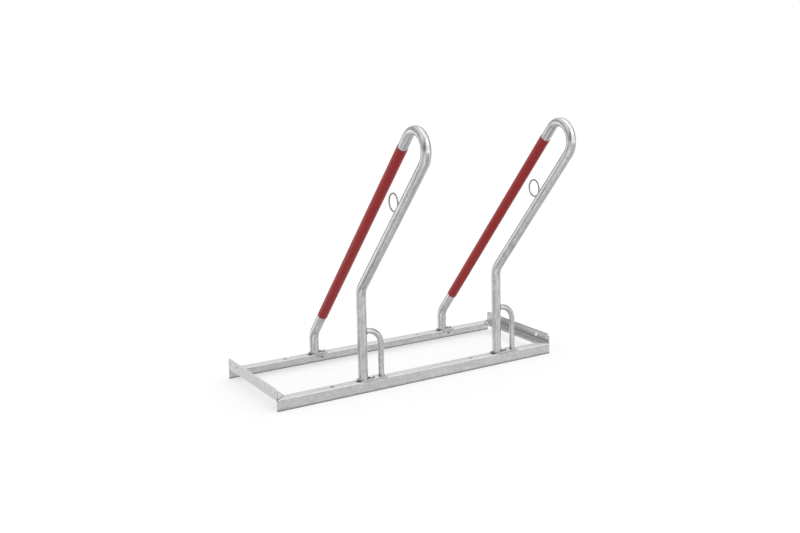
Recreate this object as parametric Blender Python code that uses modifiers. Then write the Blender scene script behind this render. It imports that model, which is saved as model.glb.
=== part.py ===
"""Bike parking stand for two bicycles: a floor frame of steel angle with two leaning tube hoops.

Metres, +Z up. The rails run along X and the bicycles come in from -Y.
The origin is on the floor, at the middle of the front rail's foot.
"""

import math

import bmesh
import bpy
from mathutils import Matrix, Vector

# Room between neighbouring solids, and how far a cutter reaches past what it cuts
GAP = 0.0003
OVERCUT = 0.01

# Places for the bicycles, which keep their spacing along a row of coupled frames
PLACES = 2
PLACE_WIDTH = 0.550
LEFT_OVERHANG = 0.318

# Floor frame
FRAME_DEPTH = 0.440
ANGLE_LEG = 0.040
ANGLE_THICKNESS = 0.004
ROOT_RADIUS = 0.006
TOE_RADIUS = 0.0015
UPSTAND_CORNER_RADIUS = 0.014

# Holes in the frame
ANCHOR_HOLE_DIAMETER = 0.013
ANCHOR_HOLE_FROM_LEG = 0.115
COUPLING_HOLE_DIAMETER = 0.014
COUPLING_HOLE_FROM_END = 0.085
PIN_HOLE_DIAMETER = 0.009
PIN_HOLE_FROM_END = 0.017

# Hoop
TUBE_DIAMETER = 0.0337
TUBE_WALL = 0.0026
LEAN = math.radians(43.3)
BEND_RADIUS = 0.062
REAR_LEG_STRAIGHT = 0.046
FRONT_ARM_LENGTH = 0.645

# Hose on the rear arm
HOSE_WALL = 0.0008
BARE_TUBE_ABOVE_KNEE = 0.098
BARE_TUBE_BELOW_TOP = 0.055

# Lock ring
RING_WIRE_DIAMETER = 0.005
RING_BORE_DIAMETER = 0.053
RING_BELOW_TOP_BEND = 0.234

# Wheel bow
BOW_BAR_DIAMETER = 0.020
TYRE_GAP = 0.043
BOW_HEIGHT_ABOVE_PLATE = 0.167
BOW_BEND_RADIUS = 0.051

# Foot plates and the weld round each hoop foot
PLATE_THICKNESS = 0.005
PLATE_MARGIN_LEFT = 0.0065
FRONT_PLATE_MARGIN = 0.0045
REAR_PLATE_MARGIN = 0.001
PLATE_CORNER_RADIUS = 0.003
WELD_LEG = 0.0015

# Bolts, washers and nuts
BOLT_DIAMETER = 0.010
BOLT_CLEARANCE = 0.0005
BOLT_PROTRUSION = 0.006
HEAD_DIAMETER = 0.024
HEAD_RIM = 0.001
HEAD_HEIGHT = 0.0054
NUT_SHOULDER = 0.0035
NUT_CHAMFER = 0.0005
NUT_HEIGHT = 0.008
NUT_ROOM = 0.0015
WASHER_RIM = 0.0015
WASHER_THICKNESS = 0.002

# Facets
TUBE_SIDES = 24
BORE_SIDES = 12
BAR_SIDES = 16
HOLE_SIDES = 20
SMALL_ARC_STEPS = 4
DOME_STEPS = 5
KNEE_STEPS = 6
TOP_BEND_STEPS = 18
BOW_STEPS = 9
RING_STEPS = 40
WIRE_SIDES = 8

# Frame, worked out from the values above
FRAME_LENGTH = PLACES * PLACE_WIDTH
FOOT_WIDTH = ANGLE_THICKNESS - TOE_RADIUS
LEFT_END = -FRAME_LENGTH / 2
RIGHT_END = FRAME_LENGTH / 2
FRONT_FACE = -FOOT_WIDTH / 2
REAR_FACE = FRONT_FACE + FRAME_DEPTH
FLANGE_TOP = ANGLE_LEG
FLANGE_BOTTOM = FLANGE_TOP - ANGLE_THICKNESS
UPSTAND_TOP = FLANGE_BOTTOM + ANGLE_LEG
UPSTAND_HOLE_HEIGHT = (FLANGE_TOP + UPSTAND_TOP) / 2

# Fasteners
BOLT_HOLE_DIAMETER = BOLT_DIAMETER + 2 * BOLT_CLEARANCE
NUT_ACROSS_FLATS = BOLT_DIAMETER + 2 * NUT_SHOULDER
WASHER_DIAMETER = NUT_ACROSS_FLATS + 2 * WASHER_RIM
HEAD_RADIUS = HEAD_DIAMETER / 2
PLATE_BOTTOM = FLANGE_TOP + GAP
PLATE_TOP = PLATE_BOTTOM + PLATE_THICKNESS
LEG_BOTTOM = PLATE_TOP + GAP
HEAD_BOTTOM = PLATE_TOP + GAP
HEAD_TOP = HEAD_BOTTOM + HEAD_HEIGHT
WASHER_TOP = FLANGE_BOTTOM - GAP
WASHER_BOTTOM = WASHER_TOP - WASHER_THICKNESS
NUT_TOP = WASHER_BOTTOM - GAP
NUT_BOTTOM = NUT_TOP - NUT_HEIGHT
BOLT_END = NUT_BOTTOM - BOLT_PROTRUSION

# The legs, bolts and anchor holes stand in one row, where the nuts clear the root of the angle
ROW = ANGLE_THICKNESS + ROOT_RADIUS + NUT_ROOM + NUT_ACROSS_FLATS / 2
FRONT_LEG_Y = FRONT_FACE + ROW
REAR_LEG_Y = REAR_FACE - ROW
TUBE_RADIUS = TUBE_DIAMETER / 2
BAR_RADIUS = BOW_BAR_DIAMETER / 2
BOW_HEIGHT = PLATE_TOP + BOW_HEIGHT_ABOVE_PLATE
BOW_OFFSET = TUBE_RADIUS + TYRE_GAP + BAR_RADIUS
WELD_BORE = TUBE_RADIUS + GAP
WELD_RADIUS = WELD_BORE + WELD_LEG
BOLT_OFFSET = WELD_RADIUS + GAP + HEAD_RADIUS

# Directions in the hoop's plane: up the leaning arms, and square to them from the front arm to the rear one
ARM = Vector((0, -math.sin(LEAN), math.cos(LEAN)))
ACROSS = Vector((0, math.cos(LEAN), math.sin(LEAN)))
KNEE_TANGENT = BEND_RADIUS * math.tan(LEAN / 2)
REAR_KNEE = Vector((0, REAR_LEG_Y, LEG_BOTTOM + REAR_LEG_STRAIGHT + KNEE_TANGENT))
KNEE_RISE = ((REAR_LEG_Y - FRONT_LEG_Y) * math.cos(LEAN) - 2 * BEND_RADIUS) / math.sin(LEAN)
FRONT_KNEE = Vector((0, FRONT_LEG_Y, REAR_KNEE.z + KNEE_RISE))
TOP_CENTRE = FRONT_KNEE + ARM * FRONT_ARM_LENGTH + ACROSS * BEND_RADIUS
REAR_ARM_LENGTH = (TOP_CENTRE + ACROSS * BEND_RADIUS - REAR_KNEE).length

STEEL = ((0.55, 0.56, 0.57), 0.42, 0.9)
ZINC = ((0.62, 0.63, 0.64), 0.35, 1.0)
RED_HOSE = ((0.30, 0.035, 0.04), 0.5, 0.0)


def clear_scene():
    """Removes what the scene holds."""
    for thing in list(bpy.data.objects):
        bpy.data.objects.remove(thing, do_unlink=True)


def make_collection(name):
    """A collection of that name under the scene's own."""
    collection = bpy.data.collections.new(name)
    bpy.context.scene.collection.children.link(collection)
    return collection


def paint(thing, finish):
    """Gives the object its own Principled material."""
    colour, roughness, metallic = finish
    material = bpy.data.materials.new(thing.name)
    material.use_nodes = True
    shader = material.node_tree.nodes["Principled BSDF"]
    shader.inputs["Base Color"].default_value = (*colour, 1.0)
    shader.inputs["Roughness"].default_value = roughness
    shader.inputs["Metallic"].default_value = metallic
    material.diffuse_color = (*colour, 1.0)
    thing.data.materials.clear()
    thing.data.materials.append(material)


def add_part(name, mesh, finish, place=(0, 0, 0)):
    """Links a mesh to the stand as a named part."""
    thing = bpy.data.objects.new(name, mesh)
    thing.location = place
    PARTS.objects.link(thing)
    paint(thing, finish)
    mesh.shade_smooth()
    mesh.set_sharp_from_angle(angle=math.radians(35))
    return thing


def add_cutter(name, mesh, place=(0, 0, 0)):
    """Links a mesh as a cutter, which isn't part of the stand."""
    thing = bpy.data.objects.new(name, mesh)
    thing.location = place
    thing.hide_render = True
    thing.display_type = "WIRE"
    CUTTERS.objects.link(thing)
    return thing


def combine(thing, cutter, operation="DIFFERENCE"):
    """Cuts the cutter out of the part, or joins it on, or keeps what the two share."""
    modifier = thing.modifiers.new(cutter.name, "BOOLEAN")
    modifier.operation = operation
    modifier.solver = "EXACT"
    modifier.object = cutter


def mesh_of_curve(curve):
    """The curve as a closed mesh with its caps welded on."""
    thing = bpy.data.objects.new("curve", curve)
    bpy.context.scene.collection.objects.link(thing)
    depsgraph = bpy.context.evaluated_depsgraph_get()
    mesh = bpy.data.meshes.new_from_object(thing.evaluated_get(depsgraph))
    bpy.data.objects.remove(thing, do_unlink=True)
    shape = bmesh.new()
    shape.from_mesh(mesh)
    bmesh.ops.remove_doubles(shape, verts=shape.verts, dist=0.00001)
    bmesh.ops.recalc_face_normals(shape, faces=shape.faces)
    shape.to_mesh(mesh)
    shape.free()
    return mesh


def extruded(points, low, high):
    """A flat outline in XY, extruded from one height to another."""
    curve = bpy.data.curves.new("outline", "CURVE")
    curve.dimensions = "2D"
    curve.fill_mode = "BOTH"
    curve.extrude = (high - low) / 2
    spline = curve.splines.new("POLY")
    spline.points.add(len(points) - 1)
    for point, (x, y) in zip(spline.points, points):
        point.co = (x, y, 0, 1)
    spline.use_cyclic_u = True
    mesh = mesh_of_curve(curve)
    mesh.transform(Matrix.Translation((0, 0, (high + low) / 2)))
    return mesh


def tube(points, radius, sides):
    """A round bar along the points, which lie in one plane."""
    curve = bpy.data.curves.new("path", "CURVE")
    curve.dimensions = "3D"
    curve.bevel_depth = radius
    curve.bevel_resolution = (sides - 4) // 2
    curve.use_fill_caps = True
    spline = curve.splines.new("POLY")
    spline.points.add(len(points) - 1)
    for point, place in zip(spline.points, points):
        point.co = (*place, 1)
    return mesh_of_curve(curve)


def cylinder(radius, low, high, sides=HOLE_SIDES):
    """An upright cylinder round the Z axis."""
    shape = bmesh.new()
    place = Matrix.Translation((0, 0, (low + high) / 2))
    bmesh.ops.create_cone(
        shape, cap_ends=True, segments=sides, radius1=radius, radius2=radius, depth=high - low, matrix=place
    )
    mesh = bpy.data.meshes.new("cylinder")
    shape.to_mesh(mesh)
    shape.free()
    return mesh


def turn(thing, sides):
    """Turns a part's or a cutter's profile round the Z axis."""
    screw = thing.modifiers.new("turn", "SCREW")
    screw.axis = "Z"
    screw.steps = sides
    screw.render_steps = sides
    screw.use_merge_vertices = True
    screw.merge_threshold = 0.00001


def profile_mesh(profile, closed=True):
    """A profile of (radius, height) points, down its outer side first; an open one runs from axis to axis."""
    shape = bmesh.new()
    corners = [shape.verts.new((radius, 0, height)) for radius, height in profile]
    for corner, following in zip(corners, corners[1:]):
        shape.edges.new((corner, following))
    if closed:
        shape.edges.new((corners[-1], corners[0]))
    mesh = bpy.data.meshes.new("profile")
    shape.to_mesh(mesh)
    shape.free()
    return mesh


def ring_profile(inner, outer, low, high):
    """The profile of a plain ring."""
    return profile_mesh([(outer, high), (outer, low), (inner, low), (inner, high)])


def arc(centre, radius, start, end, steps):
    """Points on a flat arc, from one angle to another."""
    points = []
    for step in range(steps + 1):
        angle = start + (end - start) * step / steps
        points.append((centre[0] + radius * math.cos(angle), centre[1] + radius * math.sin(angle)))
    return points


def bend(centre, radius, first, second, angle, steps):
    """Points on an arc in space. It starts on first from the centre and turns towards second."""
    points = []
    for step in range(steps + 1):
        turn = angle * step / steps
        points.append(centre + first * radius * math.cos(turn) + second * radius * math.sin(turn))
    return points


def angle_outline():
    """Section of the steel angle, with its heel at the origin and its legs along +X and +Y."""
    quarter = math.pi / 2
    toe_x = (ANGLE_LEG - TOE_RADIUS, ANGLE_THICKNESS - TOE_RADIUS)
    toe_y = (ANGLE_THICKNESS - TOE_RADIUS, ANGLE_LEG - TOE_RADIUS)
    root = (ANGLE_THICKNESS + ROOT_RADIUS, ANGLE_THICKNESS + ROOT_RADIUS)
    outline = [(0, 0), (ANGLE_LEG, 0)]
    outline += arc(toe_x, TOE_RADIUS, 0, quarter, SMALL_ARC_STEPS)
    outline += arc(root, ROOT_RADIUS, 3 * quarter, 2 * quarter, SMALL_ARC_STEPS)
    outline += arc(toe_y, TOE_RADIUS, 0, quarter, SMALL_ARC_STEPS)
    outline += [(0, ANGLE_LEG)]
    return outline


def angle_bar(name, length, heel, first_leg, second_leg):
    """A length of steel angle: heel is the middle of its outer edge, and the legs point as given."""
    mesh = extruded(angle_outline(), -length / 2, length / 2)
    first, second = Vector(first_leg), Vector(second_leg)
    along = first.cross(second)
    turn = Matrix((first, second, along)).transposed().to_4x4()
    mesh.transform(Matrix.Translation(heel) @ turn)
    return add_part(name, mesh, STEEL)


def corner_cutter(name, end_sign, face_sign, outline, low, high):
    """An upright prism at a corner of the frame, from (distance along the rail, distance inwards) points."""
    end_x = RIGHT_END if end_sign < 0 else LEFT_END
    face_y = REAR_FACE if face_sign < 0 else FRONT_FACE
    points = [(end_x + end_sign * along, face_y + face_sign * inwards) for along, inwards in outline]
    return add_cutter(name, extruded(points, low, high))


def mitre_outlines():
    """The plan areas that a rail and an end angle give up at their 45 degree joint."""
    clear = GAP / math.sqrt(2)
    reach = ANGLE_LEG + OVERCUT
    for_rail = [(-OVERCUT, -OVERCUT), (clear - OVERCUT, -OVERCUT), (clear + reach, reach), (-OVERCUT, reach)]
    for_end = [(-clear - OVERCUT, -OVERCUT), (reach, -OVERCUT), (reach, reach), (-clear + reach, reach)]
    return for_rail, for_end


def hole_cutter(name, diameter, place):
    """An upright cutter for a hole through a flange."""
    mesh = cylinder(diameter / 2, FLANGE_BOTTOM - OVERCUT, PLATE_TOP + OVERCUT)
    return add_cutter(name, mesh, (place[0], place[1], 0))


def side_hole_cutter(name, diameter, place):
    """A cutter along X for a hole through an upstand."""
    mesh = cylinder(diameter / 2, -OVERCUT, OVERCUT)
    mesh.transform(Matrix.Rotation(math.radians(90), 4, "Y"))
    return add_cutter(name, mesh, place)


def leg_x(place):
    """Where the hoop of that place stands along the rails."""
    return LEFT_END + LEFT_OVERHANG + place * PLACE_WIDTH


def make_rail(name, face_y, inwards):
    """A rail: standing leg outside, flange on top pointing inwards, mitred at both ends, with its holes."""
    rail = angle_bar(name, FRAME_LENGTH, (0, face_y, FLANGE_TOP), (0, inwards, 0), (0, 0, -1))
    for_rail, _ = mitre_outlines()
    row = face_y + inwards * ROW
    low, high = FLANGE_BOTTOM - GAP, FLANGE_TOP + OVERCUT
    for side, end_sign in (("left", 1), ("right", -1)):
        combine(rail, corner_cutter(f"{name}_{side}_mitre", end_sign, inwards, for_rail, low, high))
    for place in range(PLACES):
        anchor_x = leg_x(place) - ANCHOR_HOLE_FROM_LEG
        bolt_x = leg_x(place) + BOLT_OFFSET
        combine(rail, hole_cutter(f"{name}_anchor_hole_{place + 1}", ANCHOR_HOLE_DIAMETER, (anchor_x, row)))
        combine(rail, hole_cutter(f"{name}_bolt_hole_{place + 1}", BOLT_HOLE_DIAMETER, (bolt_x, row)))


def upstand_corner():
    """What is cut off an upstand's top corner, as (distance from its end, distance below its top)."""
    radius = UPSTAND_CORNER_RADIUS
    rounding = arc((radius, radius), radius, -math.pi / 2, -math.pi, 2 * SMALL_ARC_STEPS)
    return rounding + [(-OVERCUT, radius), (-OVERCUT, -OVERCUT), (radius, -OVERCUT)]


def make_end_angle(name, end_x, inwards, first_end, first_sign):
    """An end angle: flange between the rails, upstand outside, with its coupling holes.

    first_end is the Y of the end that has the large hole near it, and first_sign points away from that end.
    """
    middle_y = (FRONT_FACE + REAR_FACE) / 2
    bar = angle_bar(name, FRAME_DEPTH, (end_x, middle_y, FLANGE_BOTTOM), (inwards, 0, 0), (0, 0, 1))
    _, for_end = mitre_outlines()
    low, high = FLANGE_BOTTOM - OVERCUT, UPSTAND_TOP + OVERCUT
    for side, face_y, face_sign in (("front", FRONT_FACE, 1), ("rear", REAR_FACE, -1)):
        combine(bar, corner_cutter(f"{name}_{side}_mitre", inwards, face_sign, for_end, low, high))
        corner = [(face_y + face_sign * along, UPSTAND_TOP - down) for along, down in upstand_corner()]
        mesh = extruded(corner, -OVERCUT, OVERCUT)
        mesh.transform(Matrix(((0, 0, 1, end_x), (1, 0, 0, 0), (0, 1, 0, 0), (0, 0, 0, 1))))
        combine(bar, add_cutter(f"{name}_{side}_corner", mesh))
    far_end = first_end + first_sign * FRAME_DEPTH
    holes = (
        ("coupling", COUPLING_HOLE_DIAMETER, first_end + first_sign * COUPLING_HOLE_FROM_END),
        ("near_pin", PIN_HOLE_DIAMETER, first_end + first_sign * PIN_HOLE_FROM_END),
        ("far_pin", PIN_HOLE_DIAMETER, far_end - first_sign * PIN_HOLE_FROM_END),
    )
    for label, diameter, hole_y in holes:
        place = (end_x, hole_y, UPSTAND_HOLE_HEIGHT)
        combine(bar, side_hole_cutter(f"{name}_{label}_hole", diameter, place))


def hoop_path(beyond=0.0):
    """The hoop's centre line in the plane X = 0, from the rear foot over the top to the front foot."""
    forwards, up = Vector((0, -1, 0)), Vector((0, 0, 1))
    foot = LEG_BOTTOM - beyond
    rear_centre = REAR_KNEE - up * KNEE_TANGENT + forwards * BEND_RADIUS
    front_centre = FRONT_KNEE - up * KNEE_TANGENT + forwards * BEND_RADIUS
    points = [Vector((0, REAR_LEG_Y, foot))]
    points += bend(rear_centre, BEND_RADIUS, -forwards, up, LEAN, KNEE_STEPS)
    points += bend(TOP_CENTRE, BEND_RADIUS, ACROSS, ARM, math.pi, TOP_BEND_STEPS)
    points += reversed(bend(front_centre, BEND_RADIUS, -forwards, up, LEAN, KNEE_STEPS))
    points += [Vector((0, FRONT_LEG_Y, foot))]
    return points


def make_hoop(place):
    """The bent tube of one place, open at both feet."""
    number = place + 1
    outside = tube(hoop_path(), TUBE_RADIUS, TUBE_SIDES)
    bore = tube(hoop_path(OVERCUT), TUBE_RADIUS - TUBE_WALL, BORE_SIDES)
    hoop = add_part(f"hoop_tube_{number}", outside, STEEL, (leg_x(place), 0, 0))
    combine(hoop, add_cutter(f"hoop_bore_{number}", bore, (leg_x(place), 0, 0)))


def make_hose(place):
    """The protective hose, a straight sleeve on the rear arm."""
    inner = TUBE_RADIUS + GAP
    low = KNEE_TANGENT + BARE_TUBE_ABOVE_KNEE
    high = REAR_ARM_LENGTH - BARE_TUBE_BELOW_TOP
    profile = ring_profile(inner, inner + HOSE_WALL, low, high)
    hose = add_part(f"red_hose_{place + 1}", profile, RED_HOSE, REAR_KNEE + Vector((leg_x(place), 0, 0)))
    hose.rotation_euler = (LEAN, 0, 0)
    turn(hose, TUBE_SIDES)


def make_lock_ring(place):
    """The wire ring beside the front arm, in the hoop's plane."""
    wire = RING_WIRE_DIAMETER / 2
    radius = RING_BORE_DIAMETER / 2 + wire
    along = FRONT_ARM_LENGTH - RING_BELOW_TOP_BEND
    centre = FRONT_KNEE + ARM * along + ACROSS * (TUBE_RADIUS + GAP + wire + radius)
    bpy.ops.mesh.primitive_torus_add(
        major_segments=RING_STEPS, minor_segments=WIRE_SIDES, major_radius=radius, minor_radius=wire
    )
    made = bpy.context.active_object
    mesh = made.data
    bpy.data.objects.remove(made, do_unlink=True)
    mesh.transform(Matrix.Rotation(math.radians(90), 4, "Y"))
    add_part(f"lock_ring_{place + 1}", mesh, STEEL, centre + Vector((leg_x(place), 0, 0)))


def make_wheel_bow(place):
    """The round bar beside the front leg: its upper end fits the leg, its lower one stands on the plate."""
    number = place + 1
    right, up = Vector((1, 0, 0)), Vector((0, 0, 1))
    bend_centre = Vector((BOW_OFFSET - BOW_BEND_RADIUS, FRONT_LEG_Y, BOW_HEIGHT - BOW_BEND_RADIUS))
    points = [Vector((0, FRONT_LEG_Y, BOW_HEIGHT))]
    points += bend(bend_centre, BOW_BEND_RADIUS, up, right, math.pi / 2, BOW_STEPS)
    points += [Vector((BOW_OFFSET, FRONT_LEG_Y, LEG_BOTTOM))]
    bow = add_part(f"wheel_bow_{number}", tube(points, BAR_RADIUS, BAR_SIDES), STEEL, (leg_x(place), 0, 0))
    reach = BAR_RADIUS + OVERCUT
    saddle = cylinder(TUBE_RADIUS + GAP, BOW_HEIGHT - reach, BOW_HEIGHT + reach, 2 * TUBE_SIDES)
    combine(bow, add_cutter(f"bow_saddle_{number}", saddle, (leg_x(place), FRONT_LEG_Y, 0)))


def plate_outline(face_sign, right_reach):
    """A foot plate seen from above, round at its left end, with the leg's axis at the origin.

    It lies flush with both edges of the flange. face_sign is the way from the rail's outer face inwards.
    """
    half_depth = ANGLE_LEG / 2
    middle = face_sign * (half_depth - ROW)
    left_reach = TUBE_RADIUS + PLATE_MARGIN_LEFT
    quarter = math.pi / 2
    corner = PLATE_CORNER_RADIUS
    low, high = middle - half_depth + corner, middle + half_depth - corner
    outline = arc((half_depth - left_reach, middle), half_depth, quarter, 3 * quarter, 4 * SMALL_ARC_STEPS)
    outline += arc((right_reach - corner, low), corner, -quarter, 0, SMALL_ARC_STEPS)
    outline += arc((right_reach - corner, high), corner, 0, quarter, SMALL_ARC_STEPS)
    return outline


def make_foot_plate(name, place, leg_y, face_sign, right_reach):
    """A foot plate on the rail's flange, with its bolt hole and the weld round the hoop's foot."""
    x = leg_x(place)
    mesh = extruded(plate_outline(face_sign, right_reach), PLATE_BOTTOM, PLATE_TOP)
    plate = add_part(name, mesh, STEEL, (x, leg_y, 0))
    weld_bottom = PLATE_TOP - PLATE_THICKNESS / 2
    weld_top = PLATE_TOP + WELD_LEG
    profile = [(WELD_BORE + GAP, weld_top), (WELD_RADIUS, PLATE_TOP), (WELD_RADIUS, weld_bottom)]
    profile += [(WELD_BORE, weld_bottom), (WELD_BORE, weld_top)]
    weld = add_cutter(f"{name}_weld", profile_mesh(profile), (x, leg_y, 0))
    turn(weld, TUBE_SIDES)
    combine(plate, weld, "UNION")
    combine(plate, hole_cutter(f"{name}_hole", BOLT_HOLE_DIAMETER, (x + BOLT_OFFSET, leg_y)))


def make_bolt(name, place):
    """A cup-head bolt from above: a low dome with an upright rim, on a plain shank."""
    dome_height = HEAD_HEIGHT - HEAD_RIM
    dome_radius = (HEAD_RADIUS ** 2 + dome_height ** 2) / (2 * dome_height)
    half_angle = math.asin(HEAD_RADIUS / dome_radius)
    quarter = math.pi / 2
    dome = arc((0, HEAD_TOP - dome_radius), dome_radius, quarter, quarter - half_angle, DOME_STEPS)
    shank_radius = BOLT_DIAMETER / 2
    underside = [(HEAD_RADIUS, HEAD_BOTTOM), (shank_radius, HEAD_BOTTOM)]
    profile = [(0, HEAD_TOP)] + dome[1:] + underside + [(shank_radius, BOLT_END), (0, BOLT_END)]
    turn(add_part(name, profile_mesh(profile, closed=False), ZINC, place), TUBE_SIDES)


def make_nut(name, place):
    """A hexagon nut whose lower corners are taken off by a cone that shares its axis."""
    flat = NUT_ACROSS_FLATS / 2
    corners = arc((0, 0), flat / math.cos(math.pi / 6), 0, 2 * math.pi, 6)[:-1]
    nut = add_part(name, extruded(corners, NUT_BOTTOM, NUT_TOP), ZINC, place)
    tip = flat - NUT_CHAMFER
    depth = NUT_HEIGHT + OVERCUT
    base = tip + depth * math.tan(math.radians(60))
    middle = Matrix.Translation((0, 0, NUT_BOTTOM + depth / 2))
    shape = bmesh.new()
    bmesh.ops.create_cone(
        shape, cap_ends=True, segments=2 * HOLE_SIDES, radius1=tip, radius2=base, depth=depth, matrix=middle,
    )
    mesh = bpy.data.meshes.new("cone")
    shape.to_mesh(mesh)
    shape.free()
    combine(nut, add_cutter(f"{name}_cone", mesh, place), "INTERSECT")
    bore = cylinder(BOLT_DIAMETER / 2 + GAP, NUT_BOTTOM - OVERCUT, NUT_TOP + OVERCUT, BAR_SIDES)
    combine(nut, add_cutter(f"{name}_bore", bore, place))


def make_fastener(row_name, number, x, y):
    """A bolt from above, and its washer and nut under the flange."""
    place = (x, y, 0)
    make_bolt(f"{row_name}_bolt_{number}", place)
    profile = ring_profile(BOLT_HOLE_DIAMETER / 2, WASHER_DIAMETER / 2, WASHER_BOTTOM, WASHER_TOP)
    turn(add_part(f"{row_name}_washer_{number}", profile, ZINC, place), TUBE_SIDES)
    make_nut(f"{row_name}_nut_{number}", place)


def make_place(place):
    """Everything that belongs to one bicycle."""
    number = place + 1
    make_hoop(place)
    make_hose(place)
    make_lock_ring(place)
    make_wheel_bow(place)
    front_reach = BOW_OFFSET + BAR_RADIUS + FRONT_PLATE_MARGIN
    rear_reach = BOLT_OFFSET + HEAD_RADIUS + REAR_PLATE_MARGIN
    make_foot_plate(f"front_foot_plate_{number}", place, FRONT_LEG_Y, 1, front_reach)
    make_foot_plate(f"rear_foot_plate_{number}", place, REAR_LEG_Y, -1, rear_reach)
    make_fastener("front", number, leg_x(place) + BOLT_OFFSET, FRONT_LEG_Y)
    make_fastener("rear", number, leg_x(place) + BOLT_OFFSET, REAR_LEG_Y)


clear_scene()
PARTS = make_collection("bike_parking_stand")
CUTTERS = make_collection("cutters")
make_rail("front_rail", FRONT_FACE, 1)
make_rail("rear_rail", REAR_FACE, -1)
make_end_angle("left_end_angle", LEFT_END, 1, REAR_FACE, -1)
make_end_angle("right_end_angle", RIGHT_END, -1, FRONT_FACE, 1)
for bicycle_place in range(PLACES):
    make_place(bicycle_place)
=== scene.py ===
"""Looks for the bike parking stand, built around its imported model.

Metres, +Z up. The rails run along X, the bicycles come in from -Y, and the floor is at Z = 0.
"""

import math

import bmesh
import bpy
import numpy as np
from mathutils import Matrix, Vector, noise


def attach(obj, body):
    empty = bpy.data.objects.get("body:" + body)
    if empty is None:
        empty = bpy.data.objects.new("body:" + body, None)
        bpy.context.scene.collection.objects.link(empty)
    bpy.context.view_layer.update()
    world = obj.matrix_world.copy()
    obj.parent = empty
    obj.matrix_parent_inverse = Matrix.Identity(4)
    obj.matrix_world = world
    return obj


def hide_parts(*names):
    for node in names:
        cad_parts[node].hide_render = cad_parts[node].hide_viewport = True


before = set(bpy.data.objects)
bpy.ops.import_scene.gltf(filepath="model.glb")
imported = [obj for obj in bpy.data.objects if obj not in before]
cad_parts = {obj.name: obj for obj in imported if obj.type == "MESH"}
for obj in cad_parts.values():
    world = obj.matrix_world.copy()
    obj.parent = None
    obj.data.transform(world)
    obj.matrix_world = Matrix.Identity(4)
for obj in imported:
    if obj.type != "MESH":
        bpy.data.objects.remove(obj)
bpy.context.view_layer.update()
BODY = "root"

# Sizes that the model has, in the same frame
GAP = 0.0003
PLACES = 2
PLACE_WIDTH = 0.550
LEFT_OVERHANG = 0.318
FRAME_DEPTH = 0.440
ANGLE_LEG = 0.040
ANGLE_THICKNESS = 0.004
TOE_RADIUS = 0.0015
FRAME_HALF = PLACES * PLACE_WIDTH / 2
FRONT_FACE = -(ANGLE_THICKNESS - TOE_RADIUS) / 2
REAR_FACE = FRONT_FACE + FRAME_DEPTH
FLANGE_TOP = ANGLE_LEG
FLANGE_BOTTOM = FLANGE_TOP - ANGLE_THICKNESS
BRIM = FLANGE_BOTTOM + ANGLE_LEG

PLACE_X = [LEFT_OVERHANG - FRAME_HALF + place * PLACE_WIDTH for place in range(PLACES)]
LEG_INSET = 0.020
FRONT_LEG_Y = FRONT_FACE + LEG_INSET
REAR_LEG_Y = REAR_FACE - LEG_INSET
PLATE_THICKNESS = 0.005
PLATE_TOP = FLANGE_TOP + GAP + PLATE_THICKNESS
LEG_BOTTOM = PLATE_TOP + GAP

TUBE_RADIUS = 0.01685
TUBE_WALL = 0.0026
LEAN = math.radians(43.3)
BEND_RADIUS = 0.062
REAR_LEG_STRAIGHT = 0.046
FRONT_ARM_LENGTH = 0.645

BAR_RADIUS = 0.010
TYRE_GAP = 0.043
BOW_OFFSET = TUBE_RADIUS + TYRE_GAP + BAR_RADIUS
BOW_HEIGHT_ABOVE_PLATE = 0.167
BOW_HEIGHT = PLATE_TOP + BOW_HEIGHT_ABOVE_PLATE
BOW_BEND_RADIUS = 0.051

RING_WIRE_RADIUS = 0.0025
RING_BORE_RADIUS = 0.0265
RING_RADIUS = RING_BORE_RADIUS + RING_WIRE_RADIUS
RING_BELOW_TOP_BEND = 0.234

HOSE_WALL = 0.0008
HOSE_BORE_RADIUS = TUBE_RADIUS + GAP
HOSE_RADIUS = HOSE_BORE_RADIUS + HOSE_WALL
HOSE_ABOVE_KNEE = 0.098
HOSE_BELOW_TOP = 0.055

WELD_LEG = 0.0015
HEAD_RADIUS = 0.012
HEAD_HEIGHT = 0.0054
HEAD_RIM = 0.001
HEAD_BOTTOM = PLATE_TOP + GAP
HEAD_TOP = HEAD_BOTTOM + HEAD_HEIGHT
BOLT_OFFSET = TUBE_RADIUS + GAP + WELD_LEG + GAP + HEAD_RADIUS
BOLT_RADIUS = 0.005
BOLT_PROTRUSION = 0.006
WASHER_THICKNESS = 0.002
NUT_HEIGHT = 0.008
NUT_BOTTOM = FLANGE_BOTTOM - GAP - WASHER_THICKNESS - GAP - NUT_HEIGHT
BOLT_END = NUT_BOTTOM - BOLT_PROTRUSION

# Directions and points of the hoop, in its own plane
UP = Vector((0, 0, 1))
FORWARDS = Vector((0, -1, 0))
RIGHT = Vector((1, 0, 0))
ARM = Vector((0, -math.sin(LEAN), math.cos(LEAN)))
ACROSS = Vector((0, math.cos(LEAN), math.sin(LEAN)))
KNEE_TANGENT = BEND_RADIUS * math.tan(LEAN / 2)
REAR_KNEE = Vector((0, REAR_LEG_Y, LEG_BOTTOM + REAR_LEG_STRAIGHT + KNEE_TANGENT))
KNEE_RISE = ((REAR_LEG_Y - FRONT_LEG_Y) * math.cos(LEAN) - 2 * BEND_RADIUS) / math.sin(LEAN)
FRONT_KNEE = Vector((0, FRONT_LEG_Y, REAR_KNEE.z + KNEE_RISE))
TOP_CENTRE = FRONT_KNEE + ARM * FRONT_ARM_LENGTH + ACROSS * BEND_RADIUS
REAR_ARM_LENGTH = (TOP_CENTRE + ACROSS * BEND_RADIUS - REAR_KNEE).length
HOSE_LENGTH = REAR_ARM_LENGTH - HOSE_BELOW_TOP - HOSE_ABOVE_KNEE - KNEE_TANGENT

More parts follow.
